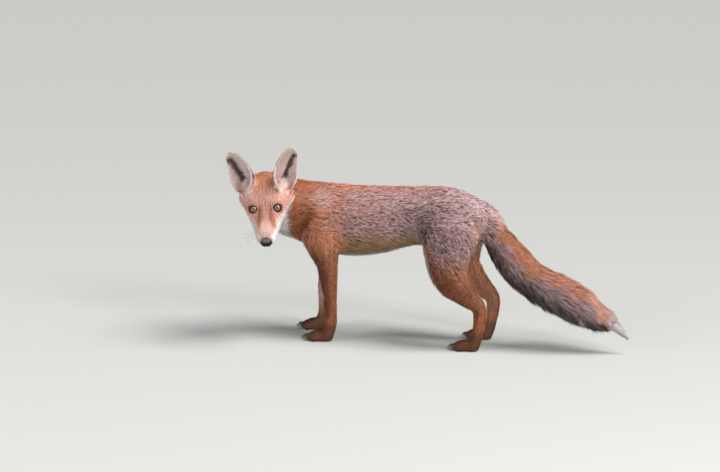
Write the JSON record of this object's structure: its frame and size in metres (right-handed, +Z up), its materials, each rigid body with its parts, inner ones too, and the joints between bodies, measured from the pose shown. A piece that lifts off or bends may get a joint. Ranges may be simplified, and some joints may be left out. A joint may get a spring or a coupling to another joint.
{
  "type": "red fox model",
  "caption": "Still, life-size museum-type model of a standing red fox, its head turned to its left and its brush held low behind it.",
  "frame": {"origin": "on the floor under the middle of the whole fox's box", "axes": "+Z up, -X the way the body faces, +X towards the tail, -Y the fox's own left side"},
  "size_m": [0.8644, 0.2574, 0.4457],
  "materials": {
    "red_coat": "orange-red fur",
    "grizzled_coat": "pale-tipped fur over a dark undercoat",
    "white_coat": "white fur",
    "dark_coat": "black-brown fur",
    "skin": "hide under the coat",
    "nose_leather": "moist black pebbled skin",
    "eye": "glossy glass eye, amber-grey iris",
    "claw": "dark horn",
    "whisker": "stiff dark hair"
  },
  "bodies": {
    "root": {"ear_left": "dark_coat", "ear_right": "dark_coat", "eye_left": "eye", "eye_right": "eye", "foreleg_left_lower": "red_coat", "foreleg_left_upper": "red_coat", "foreleg_right_lower": "red_coat", "foreleg_right_upper": "red_coat", "forepaw_left": "red_coat", "forepaw_right": "red_coat", "head": "red_coat", "hindleg_left_lower": "red_coat", "hindleg_left_upper": "grizzled_coat", "hindleg_right_lower": "red_coat", "hindleg_right_upper": "grizzled_coat", "hindpaw_left": "red_coat", "hindpaw_right": "red_coat", "hindquarters": "grizzled_coat", "lower_jaw": "white_coat", "neck": "red_coat", "nose": "nose_leather", "tail_end": "grizzled_coat", "tail_middle": "grizzled_coat", "tail_root": "red_coat", "tail_tip": "white_coat", "trunk": "grizzled_coat"}
  },
  "joints": []
}
